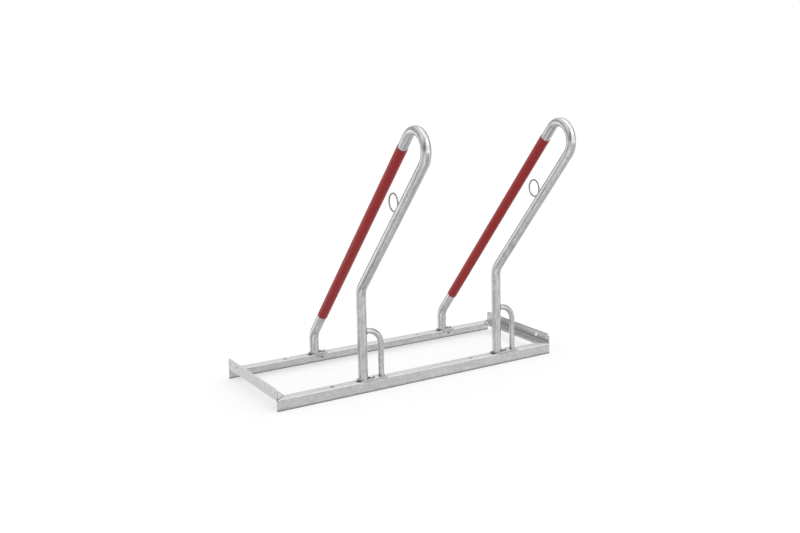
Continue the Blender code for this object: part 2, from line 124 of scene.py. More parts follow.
# Sizes that only the looks have. The hoop's skin keeps inside the model's faceted tube. An edge that
# turns by more than ROUNDED_ANGLE is rounded, and one over a shaded angle stays a sharp line.
HOOP_SKIN = 0.01672
MITRE_SEAM = 0.0006
MITRE_GROOVE = 0.0016
MITRE_REACH = 0.0008
FRAME_ROUNDING = 0.0005
PLATE_ROUNDING = 0.0006
FASTENER_ROUNDING = 0.0003
ROUNDED_ANGLE = math.radians(35)
SHADED_ANGLE = math.radians(40)
SKIN_SHADED_ANGLE = math.radians(50)
FLAT_ANGLE = math.radians(1.0)
SAME_POINT = 0.00001
SAME_HEIGHT = 0.0001

# Facets
TUBE_SIDES = 72
BAR_SIDES = 56
WIRE_SIDES = 28
BOLT_SIDES = 56
BEAD_SIDES = 12
BEND_STEP = math.radians(2.5)


# Node helpers

class Nodes:
    """Builds a node tree with short calls."""

    def __init__(self, tree):
        self.tree = tree

    def add(self, kind, settings=None, **inputs):
        """A node of that kind. An input is a value, or another node's output to link."""
        node = self.tree.nodes.new(kind)
        for key, value in (settings or {}).items():
            setattr(node, key, value)
        for key, value in inputs.items():
            socket = self.find(node, key)
            if isinstance(value, bpy.types.NodeSocket):
                self.tree.links.new(value, socket)
            else:
                socket.default_value = value
        return node

    @staticmethod
    def find(node, key):
        """An input by its number, as in i0, or by its name with spaces written as underscores."""
        if key[0] == "i" and key[1:].isdigit():
            return node.inputs[int(key[1:])]
        return node.inputs[key.replace("_", " ")]

    def math(self, operation, first, second=0.0):
        """One sum on two numbers."""
        return self.add("ShaderNodeMath", {"operation": operation}, i0=first, i1=second).outputs[0]

    def span(self, value, low, high, to_low=0.0, to_high=1.0, smooth=False):
        """A value brought from one range to another."""
        settings = {"interpolation_type": "SMOOTHSTEP" if smooth else "LINEAR", "clamp": True}
        ranges = {"From_Min": low, "From_Max": high, "To_Min": to_low, "To_Max": to_high}
        return self.add("ShaderNodeMapRange", settings, Value=value, **ranges).outputs[0]

    def noise(self, vector, scale, detail, roughness):
        """A noise value from 0 to 1."""
        values = {"Scale": scale, "Detail": detail, "Roughness": roughness}
        return self.add("ShaderNodeTexNoise", None, Vector=vector, **values).outputs[0]

    def vector(self, operation, *vectors):
        """The outputs of one sum on vectors: the vector, and a value for a dot product."""
        inputs = {f"i{index}": vector for index, vector in enumerate(vectors)}
        return self.add("ShaderNodeVectorMath", {"operation": operation}, **inputs).outputs

    def parts(self, vector):
        """The outputs X, Y and Z of a vector."""
        return self.add("ShaderNodeSeparateXYZ", None, Vector=vector).outputs

    def colour(self, factor, first, second):
        """A mix of two colours."""
        node = self.add("ShaderNodeMix", {"data_type": "RGBA"}, Factor=factor)
        for socket, value in ((node.inputs[6], first), (node.inputs[7], second)):
            if isinstance(value, bpy.types.NodeSocket):
                self.tree.links.new(value, socket)
            else:
                socket.default_value = (*value, 1)
        return node.outputs[2]

    def shade_and_stain(self, base, shade_and_stain, amount, value, low, high, smooth=False):
        """A base colour that takes up that amount of a stain, or of painted shade, as the value goes from
        low to high.
        """
        return self.colour(self.span(value, low, high, 0.0, amount, smooth), base, shade_and_stain)


def new_material(name):
    """An empty material with its node builder and its output."""
    material = bpy.data.materials.new(name)
    material.use_nodes = True
    material.node_tree.nodes.clear()
    nodes = Nodes(material.node_tree)
    output = nodes.add("ShaderNodeOutputMaterial")
    return material, nodes, output


def flow_vector(nodes):
    """The place on a piece, with its length along Z, from the attribute that each piece carries."""
    return nodes.add("ShaderNodeAttribute", {"attribute_name": "flow"}).outputs["Vector"]


def weighted(nodes, start, parts):
    """start plus each (value, weight), where a value of one half adds nothing."""
    total = start
    multiply_add = {"operation": "MULTIPLY_ADD"}
    for value, weight in parts:
        more = nodes.add("ShaderNodeMath", multiply_add, i0=value, i1=weight, i2=total).outputs[0]
        total = nodes.math("SUBTRACT", more, weight / 2)
    return total


def patterns(nodes, flow, table):
    """The noise values of a table's rows, each on its own stretch of the place on a piece."""
    values = []
    for stretch, scale, detail, roughness in table:
        stretched = nodes.vector("MULTIPLY", flow, stretch)[0]
        values.append(nodes.noise(stretched, scale, detail, roughness))
    return values


# Materials

# Painted shade and dust on the zinc, and where they sit. Heights and reach are in metres, and slopes are
# parts of a normal.
SHADE_TONE = (0.035, 0.033, 0.032)
RIM_SHADE_TONE = (0.05, 0.048, 0.047)
UPPER_SHADE_TONE = (0.10, 0.098, 0.097)
DUST = (0.65, 0.645, 0.64)
FLOOR_SHADE_HEIGHTS = (0.009, 0.001)
FLOOR_SHADE_UNEVENNESS = 0.006
SEAM_REACH = 0.008
SEAM_OPENNESS = (0.90, 0.48)
RIM_SHADE_AMOUNT = 0.9
BRIM_HEIGHTS = (BRIM - 0.0035, BRIM - 0.001)
UPPER_SHADE_SLOPES = (0.10, 0.55)
END_SLOPES = (0.30, 0.80)
LEVEL_SLOPES = (0.90, 0.99)
DUST_PATCHES = (0.25, 0.75)
DUST_THINNEST = 0.7
DUST_ROUGHNESS = 0.3

# The zinc's patterns: stretch along the piece's own axes, then scale, detail and roughness. They are
# clouds, patches, runs, fine runs, drawing lines and grain.
ZINC_PATTERNS = (
    ((1.0, 1.0, 1.0), 22.0, 4.0, 0.6),
    ((1.0, 1.0, 0.45), 95.0, 4.0, 0.55),
    ((170.0, 170.0, 6.0), 1.0, 4.0, 0.6),
    ((520.0, 520.0, 20.0), 1.0, 3.0, 0.6),
    ((230.0, 230.0, 0.8), 1.0, 4.0, 0.75),
    ((1.0, 1.0, 1.0), 2600.0, 2.0, 0.6),
)
METALLIC = 0.92
SPANGLE_SCALE = 190.0
SPANGLE_WARP_SCALE = 240.0
SPANGLE_WARP = (0.005, 0.005, 0.005)
SPANGLE_EDGE = 0.12
SPANGLE_EDGE_DEPTH = 0.10
ZINC_RELIEF = 0.0006
ZINC_RELIEF_STRENGTH = 0.45


def zinc_crystals(nodes, flow):
    """The zinc's spangle: a random value for each crystal, and how near its edge is."""
    warp = nodes.add("ShaderNodeTexNoise", None, Vector=flow, Scale=SPANGLE_WARP_SCALE, Detail=1.0)
    warped = nodes.vector("MULTIPLY_ADD", warp.outputs["Color"], SPANGLE_WARP, flow)[0]
    cells, borders = (
        nodes.add("ShaderNodeTexVoronoi", {"feature": feature}, Vector=warped, Scale=SPANGLE_SCALE)
        for feature in ("F1", "DISTANCE_TO_EDGE")
    )
    crystal = nodes.add("ShaderNodeSeparateColor", None, Color=cells.outputs["Color"]).outputs[0]
    return crystal, borders.outputs["Distance"]


def steel(
    name, dark, light, roughness, streaks=0.5, spangle=0.3, waves=1.0, lines=0.0, blotches=1.0,
    floor_shade=0.0, seam_shade=0.0, brim_shade=0.0, upper_shade=0.0, ends=0.0, dust=0.0,
):
    """Galvanised steel between two tones.

    The first row of amounts weighs the zinc's patterns. The second row weighs painted shade and dust:
    painted shade near the floor, in seams and hollows, as a dark line along the upstand's top edge, on
    upper sides where it dims their reflection, and on faces square to X, and real dust on level faces.
    Painted shade round the rim lies where a piece has that attribute, which only the bolts have.
    """
    material, nodes, output = new_material(name)
    flow = flow_vector(nodes)
    clouds, patches, runs, fine_runs, drawn, grain = patterns(nodes, flow, ZINC_PATTERNS)
    crystal, border = zinc_crystals(nodes, flow)
    place = nodes.add("ShaderNodeTexCoord").outputs
    height = nodes.parts(place["Object"])["Z"]
    facing = nodes.parts(place["Normal"])

    tone = weighted(nodes, 0.5, (
        (clouds, 0.9 * blotches), (patches, 1.3 * blotches), (runs, 1.9 * streaks),
        (fine_runs, 1.1 * streaks), (crystal, spangle), (grain, 0.25), (drawn, lines),
    ))
    # Painted shade near the floor: the lowest few millimetres are darkened, unevenly.
    if floor_shade:
        low = weighted(nodes, height, ((patches, FLOOR_SHADE_UNEVENNESS),))
        tone = nodes.math("SUBTRACT", tone, nodes.span(low, *FLOOR_SHADE_HEIGHTS, 0.0, floor_shade, smooth=True))
    base = nodes.colour(nodes.span(tone, 0.0, 1.0), dark, light)
    # Painted shade in seams and hollows: darker where ambient occlusion finds nearby surfaces.
    if seam_shade:
        seams = nodes.add("ShaderNodeAmbientOcclusion", {"samples": 6}, Distance=SEAM_REACH)
        base = nodes.shade_and_stain(base, SHADE_TONE, seam_shade, seams.outputs["AO"], *SEAM_OPENNESS)
    # Painted shade round the bolts' rims, where a piece carries that attribute.
    rim_shade = nodes.add("ShaderNodeAttribute", {"attribute_name": "rim_shade"}).outputs["Fac"]
    base = nodes.colour(nodes.math("MULTIPLY", rim_shade, RIM_SHADE_AMOUNT), base, RIM_SHADE_TONE)
    # A painted dark line of shade along the upstand's top edge.
    if brim_shade:
        base = nodes.shade_and_stain(base, SHADE_TONE, brim_shade, height, *BRIM_HEIGHTS, smooth=True)
    # Painted shade on upper sides, which dims their reflection.
    if upper_shade:
        base = nodes.shade_and_stain(base, UPPER_SHADE_TONE, upper_shade, facing["Z"], *UPPER_SHADE_SLOPES)
    # Painted shade on faces square to X, such as the plates' rounded ends.
    if ends:
        base = nodes.shade_and_stain(base, SHADE_TONE, ends, nodes.math("ABSOLUTE", facing["X"]), *END_SLOPES)

    rough = weighted(nodes, roughness, (
        (crystal, -0.08), (patches, 0.20), (runs, 0.16 * streaks), (grain, 0.05), (drawn, -0.10 * lines),
    ))
    metallic = METALLIC
    if dust:
        cover = nodes.span(patches, *DUST_PATCHES, DUST_THINNEST * dust, dust)
        settled = nodes.math("MULTIPLY", nodes.span(facing["Z"], *LEVEL_SLOPES), cover)
        base = nodes.colour(settled, base, DUST)
        metallic = nodes.span(settled, 0.0, 1.0, METALLIC, 0.0)
        rough = nodes.math("ADD", rough, nodes.math("MULTIPLY", settled, DUST_ROUGHNESS))

    relief = weighted(nodes, 0.0, (
        (grain, 0.35), (crystal, 0.12), (patches, 1.6 * waves), (runs, 1.2 * streaks),
    ))
    relief = nodes.math("ADD", relief, nodes.span(border, 0.0, SPANGLE_EDGE, -SPANGLE_EDGE_DEPTH, 0.0))
    bump = nodes.add(
        "ShaderNodeBump", None, Strength=ZINC_RELIEF_STRENGTH, Distance=ZINC_RELIEF, Height=relief
    ).outputs[0]
    shader = nodes.add(
        "ShaderNodeBsdfPrincipled", None, Base_Color=base, Roughness=rough, Metallic=metallic, Normal=bump
    )
    nodes.tree.links.new(shader.outputs[0], output.inputs[0])
    return material


# The hose's patterns, in rows of the same kind. They are clouds, drawing lines, rubs and grain.
HOSE_PATTERNS = (
    ((1.0, 1.0, 1.0), 18.0, 3.0, 0.6),
    ((700.0, 700.0, 3.0), 1.0, 2.0, 0.5),
    ((160.0, 160.0, 30.0), 1.0, 4.0, 0.65),
    ((1.0, 1.0, 1.0), 3200.0, 2.0, 0.6),
)
HOSE_DARK = (0.364, 0.0113, 0.0138)
HOSE_LIGHT = (0.423, 0.0137, 0.0168)
HOSE_RUBBED = (0.44, 0.11, 0.11)
HOSE_RUBS = (0.60, 0.80)
HOSE_RUB_AMOUNT = 0.25
HOSE_SHINE = 0.42
HOSE_RELIEF = 0.0004
HOSE_RELIEF_STRENGTH = 0.25


def hose_material():
    """Dark red soft plastic: satin, with faint drawing lines and a few lighter rubs."""
    material, nodes, output = new_material("red_hose_plastic")
    clouds, lines, rubs, grain = patterns(nodes, flow_vector(nodes), HOSE_PATTERNS)
    tone = weighted(nodes, 0.45, ((clouds, 0.5), (lines, 0.35), (grain, 0.2)))
    base = nodes.colour(nodes.span(tone, 0.0, 1.0), HOSE_DARK, HOSE_LIGHT)
    base = nodes.shade_and_stain(base, HOSE_RUBBED, HOSE_RUB_AMOUNT, rubs, *HOSE_RUBS)
    rough = weighted(nodes, 0.46, ((rubs, 0.25), (clouds, 0.12)))
    relief = weighted(nodes, 0.0, ((lines, 0.35), (grain, 0.15), (clouds, 1.5)))
    bump = nodes.add(
        "ShaderNodeBump", None, Strength=HOSE_RELIEF_STRENGTH, Distance=HOSE_RELIEF, Height=relief
    ).outputs[0]
    shader = nodes.add(
        "ShaderNodeBsdfPrincipled", None, Base_Color=base, Roughness=rough, Normal=bump,
        Specular_IOR_Level=HOSE_SHINE,
    )
    nodes.tree.links.new(shader.outputs[0], output.inputs[0])
    return material


# The bars' finish, with painted shade near the floor and in seams.
BAR_FINISH_AND_SHADE = {"roughness": 0.33, "streaks": 0.25, "blotches": 0.5, "floor_shade": 0.8, "seam_shade": 0.85}
GALVANISED_TUBE = steel(
    "galvanised_tube", (0.38, 0.376, 0.38), (0.66, 0.654, 0.66), 0.12, streaks=0.6, waves=0.3, lines=2.2
)
GALVANISED_BAR = steel("galvanised_bar", (0.36, 0.356, 0.36), (0.60, 0.594, 0.60), dust=0.8, **BAR_FINISH_AND_SHADE)
# The right end angle has less dust, and painted shade along its upstand's top edge.
CLEAN_BAR = steel(
    "galvanised_clean_bar", (0.36, 0.356, 0.36), (0.60, 0.594, 0.60), brim_shade=0.55, dust=0.2, **BAR_FINISH_AND_SHADE
)
# A darker copy for the left end angle: painted shade, since that end faces away from the light.
SHADED_BAR = steel("galvanised_shaded_bar", (0.335, 0.331, 0.335), (0.56, 0.554, 0.56), dust=0.8, **BAR_FINISH_AND_SHADE)
# The plates carry painted shade in seams and on their ends, and some dust.
PLATE_STEEL = steel(
    "galvanised_plate", (0.36, 0.356, 0.36), (0.60, 0.594, 0.60), 0.30, streaks=0.25, seam_shade=0.95, ends=0.75,
    dust=0.4,
)
# The bows carry painted shade on their upper sides.
GALVANISED_ROD = steel(
    "galvanised_rod", (0.36, 0.356, 0.36), (0.64, 0.634, 0.64), 0.25, streaks=0.4, waves=0.3, lines=0.8,
    upper_shade=0.45,
)
GALVANISED_WIRE = steel(
    "galvanised_wire", (0.14, 0.14, 0.14), (0.32, 0.32, 0.32), 0.26, streaks=0.2, waves=0.2
)
# The welds carry painted shade in their seams.
WELD_STEEL = steel(
    "galvanised_weld", (0.24, 0.24, 0.24), (0.60, 0.60, 0.60), 0.16, streaks=0.1, spangle=0.1, seam_shade=0.9
)
# The zinc-plated fasteners carry painted shade in their seams and round the bolts' rims.
ZINC = steel(
    "zinc_plated", (0.38, 0.38, 0.385), (0.60, 0.60, 0.605), 0.10, streaks=0.1, spangle=0.1, waves=0.3,
    seam_shade=0.95,
)
RED_HOSE = hose_material()


# Geometry helpers

def finish_piece(thing, slot, *replaced):
    """Rides the piece on the model's one body, and hides the model's parts that it stands for."""
    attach(thing, BODY)
    if replaced:
        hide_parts(*replaced)
    return thing


def shifted(flows, seed):
    """Flow moved to another part of the endless pattern, so that no two pieces look alike."""
    rng = np.random.RandomState(seed)
    return np.asarray(flows, float) + rng.uniform(-8, 8, 3)


def set_flow(mesh, flow):
    """Stores the place on the piece that its material reads."""
    attribute = mesh.attributes.new("flow", "FLOAT_VECTOR", "POINT")
    attribute.data.foreach_set("vector", np.asarray(flow, np.float32).ravel())


def mark_sharp(mesh, angle):
    """Smooth shading that stops at edges sharper than this."""
    mesh.polygons.foreach_set("use_smooth", [True] * len(mesh.polygons))
    shape = bmesh.new()
    shape.from_mesh(mesh)
    for edge in shape.edges:
        edge.smooth = len(edge.link_faces) == 2 and edge.calc_face_angle(0.0) < angle
    shape.to_mesh(mesh)
    shape.free()


def mesh_object(name, vertices, faces, flow, material):
    """A new object from points and faces, smooth except at its sharp edges."""
    mesh = bpy.data.meshes.new(name)
    mesh.from_pydata([tuple(v) for v in vertices], [], faces)
    set_flow(mesh, flow)
    mesh.materials.append(material)
    mesh.validate()
    mark_sharp(mesh, SKIN_SHADED_ANGLE)
    mesh.update()
    thing = bpy.data.objects.new(name, mesh)
    bpy.context.scene.collection.objects.link(thing)
    return thing


def bend(centre, radius, first, second, angle):
    """Points on an arc in space. It starts on first from the centre and turns towards second."""
    steps = max(2, round(angle / BEND_STEP))
    turns = [angle * step / steps for step in range(steps + 1)]
    return [centre + first * radius * math.cos(turn) + second * radius * math.sin(turn) for turn in turns]


def neighbours(points, index, closed):
    """The points before and after one on a path. At an open path's end, one of them is the point itself."""
    before = points[index - 1] if index or closed else points[index]
    after = points[(index + 1) % len(points)] if index + 1 < len(points) or closed else points[index]
    return before, after


def rings_along(points, side, radii, sides, closed=False):
    """Rings of points round a flat path, with their flow. side is square to the path's plane."""
    points = [Vector(point) for point in points]
    side = Vector(side).normalized()
    rings, flows, length = [], [], 0.0
    for index, point in enumerate(points):
        before, after = neighbours(points, index, closed)
        normal = side.cross((after - before).normalized()).normalized()
        if index:
            length += (point - points[index - 1]).length
        for step in range(sides):
            turn = 2 * math.pi * step / sides
            radius = radii(length, turn) if callable(radii) else radii
            rings.append(point + (normal * math.cos(turn) + side * math.sin(turn)) * radius)
            flows.append((radius * math.cos(turn), radius * math.sin(turn), length))
    return rings, flows


def skin(rows, sides, offset=0, closed=False, inwards=False):
    """Faces between rings of points."""
    faces = []
    for row in range(rows if closed else rows - 1):
        for step in range(sides):
            a, b = row * sides + step, row * sides + (step + 1) % sides
            c, d = (row + 1) % rows * sides + (step + 1) % sides, (row + 1) % rows * sides + step
            face = (a, b, c, d) if not inwards else (d, c, b, a)
            faces.append(tuple(offset + corner for corner in face))
    return faces


def end_caps(rows, sides):
    """The faces that close a skin's first and last ring."""
    last = (rows - 1) * sides
    return [tuple(reversed(range(sides))), tuple(last + step for step in range(sides))]


def bar_along(name, points, side, radius, sides, material, seed, closed=False):
    """A solid round bar or wire along a flat path."""
    vertices, flows = rings_along(points, side, radius, sides, closed)
    faces = skin(len(points), sides, closed=closed)
    if not closed:
        faces += end_caps(len(points), sides)
    return mesh_object(name, vertices, faces, shifted(flows, seed), material)


def pipe_along(name, points, side, outer, inner, sides, material, seed):
    """A hollow tube along a flat path, open at both ends. outer is a radius, or a function that gives it."""
    rows = len(points)
    vertices, flows = rings_along(points, side, outer, sides)
    bore, bore_flows = rings_along(points, side, inner, sides)
    start = len(vertices)
    faces = skin(rows, sides) + skin(rows, sides, start, inwards=True)
    last = (rows - 1) * sides
    for step in range(sides):
        following = (step + 1) % sides
        faces.append((following, step, start + step, start + following))
        faces.append((last + step, last + following, start + last + following, start + last + step))
    return mesh_object(name, vertices + bore, faces, shifted(flows + bore_flows, seed), material)


def stacked(rings, centre):
    """Level rings of (radius, turn, height) points round an upright axis, with their flow."""
    flows = [(radius * math.cos(turn), radius * math.sin(turn), height) for radius, turn, height in rings]
    return [Vector(flow) + Vector(centre) for flow in flows], flows


# Frame

def on_mitre(corner):
    """Whether a point lies on the cut of a corner's mitre."""
    beside = FRAME_HALF - abs(corner.co.x)
    inwards = min(corner.co.y - FRONT_FACE, REAR_FACE - corner.co.y)
    return abs(beside - inwards) < MITRE_REACH


def on_flange(corner):
    """Whether a point lies on a flange's upper side."""
    return abs(corner.co.z - FLANGE_TOP) < SAME_HEIGHT


def open_mitres(shape, along):
    """Draws the mitre cuts of a frame angle back a little, and grooves their upper edges for the weld."""
    cut = [corner for corner in shape.verts if on_mitre(corner)]
    upper = [
        edge for edge in shape.edges
        if edge.calc_length() > ANGLE_LEG / 2
        and all(on_mitre(corner) and on_flange(corner) for corner in edge.verts)
    ]
    middle = (FRONT_FACE + REAR_FACE) / 2
    for corner in cut:
        if along == "X":
            corner.co.x -= math.copysign(MITRE_SEAM, corner.co.x)
        else:
            corner.co.y -= math.copysign(MITRE_SEAM, corner.co.y - middle)
    if upper:
        bmesh.ops.bevel(
            shape, geom=upper, offset=MITRE_GROOVE, offset_type="OFFSET", segments=1, affect="EDGES"
        )


def settle_order(shape):
    """Lists the faces by their corners, since Blender's own order differs a little from run to run."""
    shape.verts.index_update()
    ordered = sorted(shape.faces, key=lambda face: sorted(corner.index for corner in face.verts))
    for place, face in enumerate(ordered):
        face.index = place
    shape.faces.sort()


def dressed(node, material, seed, length_axis, rounding, slot="galvanised_steel"):
    """A copy of a node's shape with rounded edges. It stands for the node and lies where the node lies."""
    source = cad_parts[node]
    mesh = source.data.copy()
    mesh.materials.clear()
    mesh.materials.append(material)
    for attribute in [a.name for a in mesh.attributes if a.name.startswith("custom_normal")]:
        mesh.attributes.remove(mesh.attributes[attribute])
    shape = bmesh.new()
    shape.from_mesh(mesh)
    bmesh.ops.remove_doubles(shape, verts=shape.verts, dist=SAME_POINT)
    bmesh.ops.dissolve_limit(shape, angle_limit=FLAT_ANGLE, verts=shape.verts, edges=shape.edges)
    if node.endswith(("rail", "angle")):
        open_mitres(shape, length_axis)
    sharp = [e for e in shape.edges if len(e.link_faces) == 2 and e.calc_face_angle(0.0) > ROUNDED_ANGLE]
    bmesh.ops.bevel(
        shape, geom=sharp, offset=rounding, offset_type="OFFSET", segments=2, profile=0.5, affect="EDGES",
        clamp_overlap=True, miter_outer="ARC",
    )
    bmesh.ops.recalc_face_normals(shape, faces=shape.faces)
    settle_order(shape)
    shape.to_mesh(mesh)
    shape.free()
    places = np.array([v.co for v in mesh.vertices], float)
    order = {"X": (1, 2, 0), "Y": (0, 2, 1), "Z": (0, 1, 2)}[length_axis]
    set_flow(mesh, shifted(places[:, order], seed))
    mark_sharp(mesh, SHADED_ANGLE)
    thing = bpy.data.objects.new("dressed_" + node, mesh)
    bpy.context.scene.collection.objects.link(thing)
    even = thing.modifiers.new("even", "WEIGHTED_NORMAL")
    even.keep_sharp = True
    return finish_piece(thing, slot, node)


for number, (name, axis, material) in enumerate((
    ("front_rail", "X", GALVANISED_BAR), ("rear_rail", "X", GALVANISED_BAR),
    ("left_end_angle", "Y", SHADED_BAR), ("right_end_angle", "Y", CLEAN_BAR),
)):
    dressed(name, material, 10 + number, axis, FRAME_ROUNDING)


# Hoops, bows, rings and hoses

# The hose's unevenness: a rolled lip near each end, a rounded edge, and waves round it and along it. Its
# stations are places along it, measured from its ends.
LIP_HEIGHT = 0.0004
LIP_FROM_END = 0.0016
LIP_WIDTH = 0.0011
EDGE_HEIGHT = 0.0003
EDGE_WIDTH = 0.0006
WAVE_HEIGHT = 0.00018
WAVES_ROUND = 54.0
WAVES_ALONG = 14.0
LIP_STATIONS = (0, 0.0004, 0.0008, 0.0012, 0.0016, 0.002, 0.0026, 0.0034, 0.005)
HOSE_MIDDLE_FROM_END = 0.010
HOSE_MIDDLE_STATIONS = 120


def hoop_path():
    """The hoop's centre line in the plane X = 0, from the rear foot over the top to the front foot."""
    rear_centre = REAR_KNEE - UP * KNEE_TANGENT + FORWARDS * BEND_RADIUS
    front_centre = FRONT_KNEE - UP * KNEE_TANGENT + FORWARDS * BEND_RADIUS
    points = [Vector((0, REAR_LEG_Y, LEG_BOTTOM))]
    points += bend(rear_centre, BEND_RADIUS, -FORWARDS, UP, LEAN)
    points += bend(TOP_CENTRE, BEND_RADIUS, ACROSS, ARM, math.pi)
    points += reversed(bend(front_centre, BEND_RADIUS, -FORWARDS, UP, LEAN))
    points += [Vector((0, FRONT_LEG_Y, LEG_BOTTOM))]
    return points


def bow_path():
    """The wheel bow's centre line in the front legs' plane, from inside the leg's wall to the plate."""
    centre = Vector((BOW_OFFSET - BOW_BEND_RADIUS, FRONT_LEG_Y, BOW_HEIGHT - BOW_BEND_RADIUS))
    points = [Vector((TUBE_RADIUS - TUBE_WALL, FRONT_LEG_Y, BOW_HEIGHT))]
    points += bend(centre, BOW_BEND_RADIUS, UP, RIGHT, math.pi / 2)
    points += [Vector((BOW_OFFSET, FRONT_LEG_Y, LEG_BOTTOM))]
    return points


def ring_centre():
    """The middle of the lock ring in the plane X = 0."""
    along = FRONT_ARM_LENGTH - RING_BELOW_TOP_BEND
    return FRONT_KNEE + ARM * along + ACROSS * (TUBE_RADIUS + GAP + RING_WIRE_RADIUS + RING_RADIUS)


def hose_radius(length, turn):
    """The hose's outer radius: a rolled lip at both ends and a faint unevenness between."""
    from_end = min(length, HOSE_LENGTH - length)
    lip = LIP_HEIGHT * math.exp(-((from_end - LIP_FROM_END) / LIP_WIDTH) ** 2)
    edge = EDGE_HEIGHT * math.exp(-(from_end / EDGE_WIDTH) ** 2)
    reach = WAVES_ROUND * HOSE_RADIUS
    wave = noise.noise(Vector((reach * math.cos(turn), reach * math.sin(turn), length * WAVES_ALONG)))
    return HOSE_RADIUS + lip - edge + WAVE_HEIGHT * wave


def hose_path():
    """The hose's centre line in the plane X = 0, with close stations where its lips are."""
    start = REAR_KNEE + ARM * (KNEE_TANGENT + HOSE_ABOVE_KNEE)
    middle_end = HOSE_LENGTH - HOSE_MIDDLE_FROM_END
    middle = list(np.linspace(HOSE_MIDDLE_FROM_END, middle_end, HOSE_MIDDLE_STATIONS))
    far = [HOSE_LENGTH - station for station in reversed(LIP_STATIONS)]
    return [start + ARM * station for station in [*LIP_STATIONS, *middle, *far]]


for place, x in enumerate(PLACE_X):
    number = place + 1
    move = RIGHT * x
    hoop = pipe_along(
        f"hoop_{number}", [point + move for point in hoop_path()], RIGHT, HOOP_SKIN, TUBE_RADIUS - TUBE_WALL,
        TUBE_SIDES, GALVANISED_TUBE, 20 + place,
    )
    finish_piece(hoop, "galvanised_steel", f"hoop_tube_{number}")
    bow = bar_along(
        f"bow_{number}", [point + move for point in bow_path()], -FORWARDS, BAR_RADIUS, BAR_SIDES,
        GALVANISED_ROD, 30 + place,
    )
    finish_piece(bow, "galvanised_steel", f"wheel_bow_{number}")
    circle = bend(ring_centre() + move, RING_RADIUS, ACROSS, ARM, 2 * math.pi)[:-1]
    ring = bar_along(
        f"ring_{number}", circle, RIGHT, RING_WIRE_RADIUS, WIRE_SIDES, GALVANISED_WIRE, 40 + place,
        closed=True,
    )
    finish_piece(ring, "galvanised_steel", f"lock_ring_{number}")
    hose = pipe_along(
        f"hose_{number}", [point + move for point in hose_path()], RIGHT, hose_radius, HOSE_BORE_RADIUS,
        TUBE_SIDES, RED_HOSE, 50 + place,
    )
    finish_piece(hose, "red_hose", f"red_hose_{number}")


# Foot plates, bolts, washers and nuts

# DOME_START is the share of the dome's half angle where it begins, and CROWN the share of the head's radius
# that is left without painted shade.
SHANK_END_RADIUS = 0.0042
SHANK_CHAMFER = 0.001
HEAD_ROUNDING = 0.0003
DOME_STEPS = 14
DOME_START = 0.985
CROWN = 0.72
THREAD_PITCH = 0.0015
THREAD_DEPTH = 0.0009
THREAD_CHAMFER = 0.0009
THREAD_CHAMFER_SLOPE = 0.9
THREAD_IN_NUT = 0.0012
THREAD_SIDES = 36
THREAD_ROWS = 48


def bolt_profile():
    """A cup head on a shank that ends in the nut, as (radius, height) points from the lower end up."""
    dome_height = HEAD_HEIGHT - HEAD_RIM
    dome_radius = (HEAD_RADIUS ** 2 + dome_height ** 2) / (2 * dome_height)
    half_angle = math.asin(HEAD_RADIUS / dome_radius)
    profile = [
        (SHANK_END_RADIUS, NUT_BOTTOM),
        (BOLT_RADIUS, NUT_BOTTOM + SHANK_CHAMFER),
        (BOLT_RADIUS, HEAD_BOTTOM),
        (HEAD_RADIUS - HEAD_ROUNDING, HEAD_BOTTOM),
        (HEAD_RADIUS, HEAD_BOTTOM + HEAD_ROUNDING),
        (HEAD_RADIUS, HEAD_BOTTOM + HEAD_RIM - HEAD_ROUNDING),
    ]
    for step in range(DOME_STEPS):
        angle = half_angle * (1 - step / DOME_STEPS) * DOME_START
        height = HEAD_TOP - dome_radius + dome_radius * math.cos(angle)
        profile.append((dome_radius * math.sin(angle), height))
    return profile


def make_bolt(name, centre, seed):
    """A bolt without its threaded end, turned from its profile."""
    profile = bolt_profile()
    turns = [2 * math.pi * step / BOLT_SIDES for step in range(BOLT_SIDES)]
    rings = [(radius, turn, height) for radius, height in profile for turn in turns]
    vertices, flows = stacked(rings, centre)
    faces = skin(len(profile), BOLT_SIDES) + end_caps(len(profile), BOLT_SIDES)
    return mesh_object(name, vertices, faces, shifted(flows, seed), ZINC)


def darken_rim(mesh, centre):
    """Marks where shade is painted round a bolt's head, for its material. The crown is left without it."""
    values = []
    for vertex in mesh.vertices:
        outwards = math.hypot(vertex.co.x - centre[0], vertex.co.y - centre[1]) / HEAD_RADIUS
        values.append(min(1.0, max(0.0, (outwards - CROWN) / (1 - CROWN))))
    mesh.attributes.new("rim_shade", "FLOAT", "POINT").data.foreach_set("value", values)


def make_thread(name, centre, seed):
    """The bolt's threaded end below the nut."""
    top = NUT_BOTTOM + THREAD_IN_NUT
    rings = []
    for row in range(THREAD_ROWS + 1):
        height = BOLT_END + (top - BOLT_END) * row / THREAD_ROWS
        chamfer = max(0.0, THREAD_CHAMFER - (height - BOLT_END)) * THREAD_CHAMFER_SLOPE
        for step in range(THREAD_SIDES):
            turn = step / THREAD_SIDES
            phase = (height / THREAD_PITCH - turn) % 1.0
            radius = BOLT_RADIUS - THREAD_DEPTH * abs(2 * phase - 1) - chamfer
            rings.append((radius, 2 * math.pi * turn, height))
    vertices, flows = stacked(rings, centre)
    faces = skin(THREAD_ROWS + 1, THREAD_SIDES) + end_caps(THREAD_ROWS + 1, THREAD_SIDES)
    return mesh_object(name, vertices, faces, shifted(flows, seed), ZINC)


